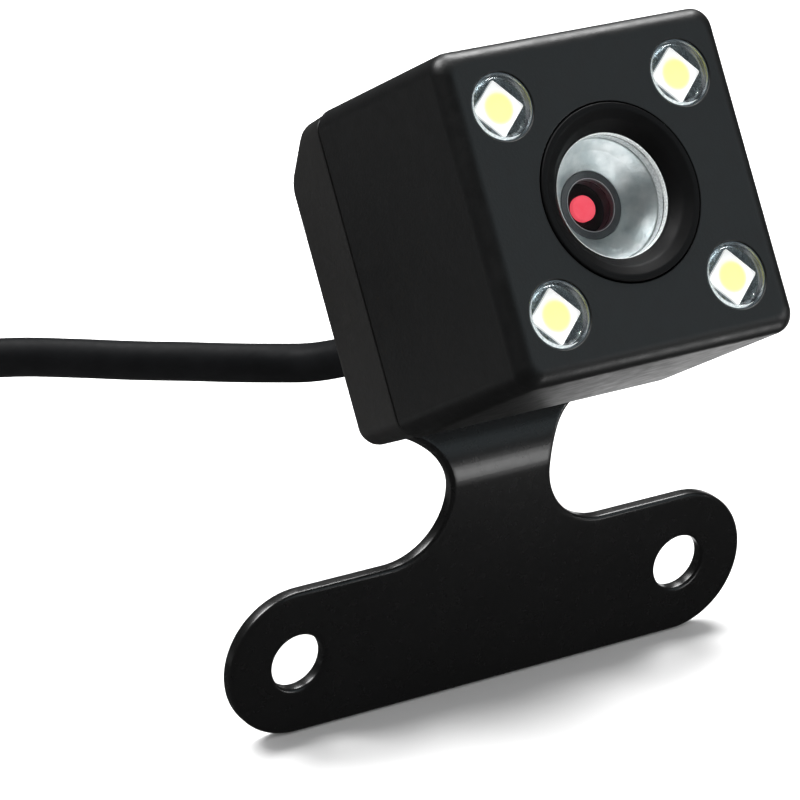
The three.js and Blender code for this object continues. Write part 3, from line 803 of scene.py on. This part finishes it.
def rear_shell():
    """The cover: a tray with a chamfered top edge, a tongue and holes for the screws and the gland."""
    low, back = (corner.y for corner in span("rear_cover"))
    shell = loft([
        (COVER_Y, 24.3, 12.2, -12.1, 1.45),
        (COVER_Y + 0.12, 24.4, 12.3, -12.2, 1.5),
        (20.4, 24.36, 12.21, -12.07, 1.5),
        (20.75, 24.34, 12.13, -12.05, 1.5),
        (21.05, 24.32, 11.93, -12.04, 1.5),
        (21.3, 24.3, 11.72, -12.03, 1.5),
        (23.4, 24.22, 9.8, -11.93, 1.5),
        (23.7, 24.12, 9.47, -11.87, 1.48),
        (23.95, 23.95, 9.15, -11.77, 1.43),
        (24.15, 23.68, 8.83, -11.6, 1.36),
        (back, 23.2, 8.5, -11.3, 1.2),
    ])
    wall = WALL / 2  # of the tongue
    mouth = (TONGUE_W - 2 * wall, TONGUE_TOP - wall, wall - TONGUE_TOP, 1)
    hollow = loft([
        (low - 1, *mouth),
        (20.4, *mouth),
        (back - 1.5, TONGUE_W - 2 * WALL, 7.4, -8.8, 1),
    ])
    rim = (TONGUE_W, TONGUE_TOP, -TONGUE_TOP, 1)
    tongue = loft([(low, *rim), (COVER_Y + 0.5, *rim)])

    def hole(radius, start, x, z, segments):
        profile = [(0, start), (radius, start), (radius, back + 1), (0, back + 1)]
        return lathe(profile, segments=segments, offset=(x, z))

    screws = [middle(f"case_screw_{number}") for number in QUARTET]
    holes = [hole(COVER_SCREW_HOLE_R, COVER_Y - 2, screw.x, screw.z, 32) for screw in screws]
    gland_hole = hole(COVER_GLAND_HOLE_R, COVER_Y + 2, 0, GLAND_Z, 64)
    whole = carved(carved(shell, [tongue], "UNION"), [hollow, gland_hole, *holes])
    piece("rear_shell", whole, "cover", "camera", ("rear_cover",))


casing()
rear_shell()


# ---- bracket --------------------------------------------------------------------------------------
BEND_REACH = BEND_R * math.tan(NOSE_UP / 2)  # straight length that the bend takes on each side of its line
FLAT_TOP = BEND_Z + TAB_TOP - BEND_DROP  # top of the tab in the flat sheet


def sheet_outline(inset):
    """Outline of the flat sheet, drawn in by inset, anticlockwise from the bottom of the right end."""
    lip = NOTCH_Z + NOTCH_R + LIP_R
    right = [
        *arc((HOLE_X, BAR_R), BAR_R - inset, -90, 90, 40),
        *arc((NOTCH_X, NOTCH_Z), NOTCH_R + inset, -90, -270, 48),
        *arc((NOTCH_X, lip), LIP_R - inset, -90, 0, 8),
        *arc((TAB_X - TAB_R, FLAT_TOP - TAB_R), TAB_R - inset, 0, 90, 12),
    ]
    return right + [(-x, z) for x, z in reversed(right)]


def sheet_holes(inset):
    """Outlines of the sheet's holes, widened by inset."""
    def flat(z):
        return BEND_Z + z - BEND_DROP

    rounds = [(side * HOLE_X, BAR_R, HOLE_R, 48) for side in (1, -1)]
    rounds.append((0, flat(GLAND_Z), TAB_GLAND_HOLE_R, 48))
    for number in QUARTET:
        at = middle(f"case_screw_{number}")
        rounds.append((at.x, flat(at.z), TAB_SCREW_HOLE_R, 24))
    return [arc((x, z), r + inset, 0, 360 * (1 - 1 / n), n - 1) for x, z, r, n in rounds]


def bent(point):
    """Where a point of the flat sheet lies once the neck is bent."""
    x, depth, z = point
    start = BEND_Z - BEND_REACH
    if z <= start:
        return x, depth, z
    turn = NOSE_UP * min(1, (z - start) / (2 * BEND_REACH))
    over = max(0, z - start - 2 * BEND_REACH)
    inner = BEND_R - depth
    return (
        x,
        BEND_R - inner * math.cos(turn) + over * math.sin(turn),
        start + inner * math.sin(turn) + over * math.cos(turn),
    )


def bracket():
    """The whole sheet: drawn flat with rounded edges, sliced across the neck and bent there."""
    half, edge = SHEET / 2, SHEET_EDGE
    rim = [(edge * (1 - math.sin(a)), half - edge * (1 - math.cos(a)))
           for a in (math.radians(18 * k) for k in range(6))]
    flat = edge + 0.25  # a strip inside the rounded edge, so that the faces shade flat
    levels = [(flat, half), *rim, *[(inset, -y) for inset, y in reversed(rim)], (flat, -half)]
    mesh = bmesh.new()
    caps = []
    loops = [[sheet_outline(inset), *sheet_holes(inset)] for inset, _ in levels]
    for k in range(len(loops[0])):
        rings = [
            [mesh.verts.new((x, depth, z)) for x, z in loop[k]] for loop, (_, depth) in zip(loops, levels)
        ]
        for first, second in zip(rings, rings[1:]):
            bridge(mesh, first, second)
        caps.append((rings[0], rings[-1]))
    for side in (0, 1):
        rings = [cap[side] for cap in caps]
        corners = [vertex for ring in rings for vertex in ring]
        outlines = [[Vector((v.co.x, v.co.z, 0)) for v in ring] for ring in rings]
        for triangle in tessellate_polygon(outlines):
            mesh.faces.new([corners[k] for k in triangle])
    slices = 24
    for k in range(slices + 1):
        cut = BEND_Z + BEND_REACH * (2 * k / slices - 1)
        geometry = [*mesh.verts, *mesh.edges, *mesh.faces]
        bmesh.ops.bisect_plane(mesh, geom=geometry, dist=1e-5, plane_co=(0, 0, cut), plane_no=(0, 0, 1))
    for vertex in mesh.verts:
        vertex.co = bent(vertex.co)
    made = piece("bracket", mesh, "enamel", None, ("bracket_plate", "bracket_tab"), WORLD, sharp=60)
    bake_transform(made)


bracket()


# ---- lens -----------------------------------------------------------------------------------------
def lens():
    """The bezel ring, the front glass and what shows through it, drawn as (radius, y) profiles."""
    def ring(name, profile, slot, look, *stands_for, closed=True):
        turned(name, profile, slot, look, stands_for, segments=160, closed=closed)

    def meniscus(step, front, sag, thick):
        curve = [(step * k, front + sag * (k / 10) ** 2) for k in range(11)]
        return [*curve, *[(r, y + thick) for r, y in reversed(curve)]]

    ring("bezel_ring", rounded([
        (6.5, 2.0), (6.5, -0.12, 0.1), (6.05, -0.12, 0.45), (5.3, 0.3, 0.9), (4.75, 1.0, 0.3),
        (4.6, 1.12, 0.06), (4.6, 1.34), (4.85, 1.4), (4.85, 2.0),
    ], closed=True), "black_plastic", "bezel_plastic", "lens_bezel_ring")
    front_glass = meniscus(0.45, 1.0, 0.5, 0.25)
    ring("front_glass", front_glass, "glass", "coated_glass", "front_lens_element", closed=False)
    # the front glass's ground edge, pale with a painted glow
    ring("glass_rim", [(4.53, 1.2), (4.58, 1.16), (4.58, 2.34), (4.51, 2.34)], "glass", "ground_glass_glow")
    ring("lens_bowl", rounded([
        (4.57, 2.42), (4.57, 4.6), (2.52, 4.6), (2.52, 4.15, 0.1), (2.95, 3.75, 0.6), (3.75, 3.1, 0.9),
        (4.42, 2.42, 0.1),
    ], closed=True), "silver", "bowl", "lens_cup")
    ring("retaining_ring", rounded([
        (1.99, 4.7), (1.99, 4.2, 0.03), (2.49, 4.14, 0.03), (2.49, 4.7),
    ], closed=True), "black_plastic", "ring_grey", "inner_retaining_ring")
    edge = [(1.98, 4.17), (1.95, 4.13), (1.92, 4.17), (1.95, 4.2)]
    ring("aperture_edge", edge, "steel", "ring_bright", "aperture_ring")
    inner_glass = meniscus(0.186, 4.32, 0.3, 0.2)
    ring("inner_glass", inner_glass, "glass", "coated_glass", "inner_lens_element", closed=False)
    tube_wall = [(1.88, 4.23), (1.97, 4.23), (1.97, 4.96), (2.7, 4.96), (2.7, 5.57), (1.88, 5.57)]
    ring("lens_tube", tube_wall, "dark_metal", "ring_grey")
    tube_floor = [(0, 5.58), (2.7, 5.58), (2.7, 5.6), (0, 5.6)]
    ring("tube_floor", tube_floor, "dark_metal", "dark_metal", closed=False)
    disc = rounded([(0, 5.15), (0.95, 5.15, 0.06), (0.95, 5.55), (0, 5.55)])
    # the filter's red is mostly a painted glow, not a lit reflection
    ring("filter_disc", disc, "coated_glass", "red", "infrared_filter", closed=False)


lens()


# ---- lamps ----------------------------------------------------------------------------------------
def painted_glint():
    """A painted glint: a glowing crescent along the lower left edge of a lamp's window, in place of a
    reflection.
    """
    shift, toward = 0.38, math.radians(210)
    outer = arc((0, 0), 2.33, 118, 302, 40)
    inner = [(x - shift * math.cos(toward), z - shift * math.sin(toward)) for x, z in reversed(outer[1:-1])]
    mesh = bmesh.new()
    rings = [[mesh.verts.new((x, y, z)) for x, z in outer + inner] for y in (0.42, 0.50)]
    bridge(mesh, *rings)
    for ring in rings:
        mesh.faces.new(ring)
    return mesh


def lamp(number):
    """One lamp: a square package turned like a diamond, its gel, the dish round it and the clear window."""
    chip = middle(f"lamp_chip_{number}")
    at = beside(chip.x, chip.z)

    def part(name, profile, slot, look, *stands_for):
        turned(f"{name}_{number}", profile, slot, look, stands_for, at)

    side, dull = 2.95, 0.08  # of the package, and how much smaller its dulled front edge is
    body = loft([
        (0.62, side - dull, (side - dull) / 2, (dull - side) / 2, 0.16),
        (0.66, side, side / 2, -side / 2, 0.18),
        (2.0, side, side / 2, -side / 2, 0.18),
    ], 5)
    body.transform(Matrix.Rotation(math.radians(48), 4, "Y"))
    stands_for = (f"lamp_chip_{number}",)
    piece(f"lamp_package_{number}", body, "white_plastic", "camera", stands_for, at, look="package")
    part("lamp_gel", [(0, 0.585), (0.7, 0.59), (1.1, 0.6), (1.42, 0.615), (1.42, 0.63), (0, 0.63)],
         "phosphor", "phosphor", f"lamp_phosphor_{number}")
    part("lamp_tray", [(0, 0.80), (1.9, 0.78), (2.2, 0.68), (2.36, 0.56), (2.36, 0.9), (0, 0.9)],
         "dark_metal", "tray")
    part("lamp_reflector", [(2.2, 0.66), (2.4, 0.1), (2.46, 0.1), (2.46, 0.66)], "silver", "mirror")
    # painted glint: a glowing crescent piece that stands in for a reflection in the window
    piece(f"lamp_glint_{number}", painted_glint(), "glass", "camera", (), at, look="ground_glass_glow")
    outside = rounded([(0, -0.12), (1.3, -0.1), (2.0, 0.0, 0.8), (2.44, 0.32, 0.2), (2.44, 0.5)], steps=8)
    inside = rounded([(2.36, 0.5), (2.3, 0.4, 0.2), (1.95, 0.16, 0.8), (1.3, 0.08), (0, 0.06)], steps=8)
    part("lamp_window", [*outside, *inside], "glass", "glass", f"lamp_lens_{number}")


for number in QUARTET:
    lamp(number)


# ---- screws and gland -------------------------------------------------------------------------------
def cover_screw(number):
    """A cross-slotted pan-head screw, its slots turned another way on each."""
    low, high = span(f"case_screw_{number}")
    shank, core, head = 1.0, 0.84, 1.7  # radii
    under, top = high.y - 1.05, high.y
    threads = [(core if k % 2 else shank, low.y + 1.2 + 0.25 * k) for k in range(30)]
    body = lathe(rounded([
        (0, low.y), (0.35, low.y + 0.4), *threads, (shank, threads[-1][1] + 0.2), (shank, under),
        (head, under), (head, under + 0.5, 0.3), (1.2, top, 0.8), (0, top),
    ]), segments=48)
    turn = math.radians(23 + 31 * number)
    slots = [block((2.0, 1.2, 0.42), (0, top + 0.05, 0), turn + quarter) for quarter in (0, math.pi / 2)]
    at = beside((low.x + high.x) / 2, (low.z + high.z) / 2)
    piece(f"cover_screw_{number}", carved(body, slots), "steel", "camera", (f"case_screw_{number}",), at)


def gland():
    """The rubber strain relief: a flange inside the cover, a collar on the tab and a ribbed, tapered tail."""
    low, high = span("cable_gland")
    tab_back = TAB_Y + SHEET / 2
    flange, neck, collar, neck_end = 4.05, 2.95, 3.95, 24.62  # three radii, and where the collar starts
    ribs = []
    for k in range(4):
        y, r = tab_back + 1.0 + 0.85 * k, 3.25 - 0.26 * k
        ribs += [(r, y, 0.1), (r - 0.06, y + 0.5, 0.1), (r - 0.55, y + 0.55, 0.05), (r - 0.6, y + 0.8, 0.05)]
    profile = rounded([
        (0, low.y), (flange, low.y, 0.1), (flange, low.y + 0.68), (neck, low.y + 0.7),
        (neck, neck_end), (collar, neck_end, 0.1), (collar, tab_back + 0.3, 0.2), (3.4, tab_back + 0.8, 0.2),
        *ribs, (2.15, high.y - 0.15, 0.1), (2.0, high.y), (0, high.y),
    ], steps=4)
    turned("gland", profile, "rubber", "rubber", ("cable_gland",), beside(0, GLAND_Z))


for number in QUARTET:
    cover_screw(number)
gland()

# ---- finishes of the CAD nodes that stay ------------------------------------------------------------
KEPT = {
    "rubber": ["cover_gasket", "lens_seal", "wire_black"],
    "dark_metal": ["lens_barrel"],
    "black_plastic": ["lens_spacer", "lens_holder"],
    "steel": ["crystal"],
    "coated_glass": ["middle_lens_element", "rear_lens_element"],
    "chip": ["image_sensor", "video_chip", "regulator_chip"],
    "board": ["main_board", "lamp_board"],
    "silver": ["capacitor"],
    "white_plastic": ["board_socket", "board_plug"],
    "red_wire": ["wire_red"],
    "yellow_wire": ["wire_yellow"],
}
for look, nodes in KEPT.items():
    for node in nodes:
        repaint(node, look)


# ---- stage ----------------------------------------------------------------------------------------
def floor():
    """A pale sheet just under the object."""
    mesh = bmesh.new()
    bmesh.ops.create_grid(mesh, x_segments=1, y_segments=1, size=3)
    obj = as_object("floor", mesh)
    obj.location.z = -0.0001
    obj.data.materials.append(LOOKS["floor"])
    obj.visible_glossy = False


def shine(name, kind, place, aim, energy, **settings):
    """A lamp of the set, out of the camera's sight."""
    data = bpy.data.lights.new(name, kind)
    data.energy = energy
    for setting, value in settings.items():
        setattr(data, setting, value)
    obj = bpy.data.objects.new(name, data)
    obj.visible_camera = False
    bpy.context.scene.collection.objects.link(obj)
    obj.matrix_world = placed(place, aim, "-Z")


def card(name, place, aim, width, height, strength, tint=(1, 1, 1)):
    """A glowing card that only polished surfaces see, like the reflector boards of a product set."""
    mesh = bmesh.new()
    bmesh.ops.create_grid(mesh, x_segments=1, y_segments=1, size=0.5)
    mesh.transform(Matrix.Diagonal((width, height, 1, 1)))
    obj = as_object(name, mesh)
    obj.matrix_world = placed(place, aim, "Z")
    glow = {"Base Color": (0, 0, 0), "Emission Color": tint, "Emission Strength": strength}
    obj.data.materials.append(Look(name, glow).material)
    obj.visible_camera = obj.visible_diffuse = obj.visible_transmission = obj.visible_shadow = False


def surroundings():
    """A white room that polished surfaces see as a dim one, as between the flags of a product set."""
    bright, dim = 0.66, 0.06
    world = bpy.data.worlds.new("studio")
    world.use_nodes = True
    nodes, links = world.node_tree.nodes, world.node_tree.links
    ray = nodes.new("ShaderNodeLightPath")
    level = nodes.new("ShaderNodeMapRange")
    level.inputs["To Min"].default_value = bright
    level.inputs["To Max"].default_value = dim
    links.new(ray.outputs["Is Glossy Ray"], level.inputs["Value"])
    links.new(level.outputs["Result"], nodes["Background"].inputs["Strength"])
    nodes["Background"].inputs["Color"].default_value = (1, 1, 1, 1)
    bpy.context.scene.world = world
    bpy.context.scene.view_settings.view_transform = "Standard"


floor()
surroundings()
for side, x in (("left", -0.44), ("right", 0.44)):
    shine(f"key_{side}", "AREA", (x, 0.46, 0.98), (0, 0, 0.03), 16.5, shape="DISK", size=0.62)
shine("lens_spot", "SPOT", (0.54, -0.43, 0.12), (0, -0.012, 0.046), 7.0,
      spot_size=math.radians(3.4), spot_blend=0.6, shadow_soft_size=0.03)
card("front_card", (0.16, -0.21, 0.21), (0, -0.013, 0.045), 0.26, 0.26, 0.66, (0.78, 0.93, 1.0))
card("side_card", (-0.070, 0.085, 0.0005), (-0.070, 0.085, 1), 0.13, 0.13, 0.15)
card("low_card", (0.031, -0.0515, 0.0095), (0, 0.001, 0.018), 0.020, 0.017, 5.8)
card("ground_card", (0.076, 0.057, 0.0005), (0.076, 0.057, 1), 0.11, 0.115, 1.35)
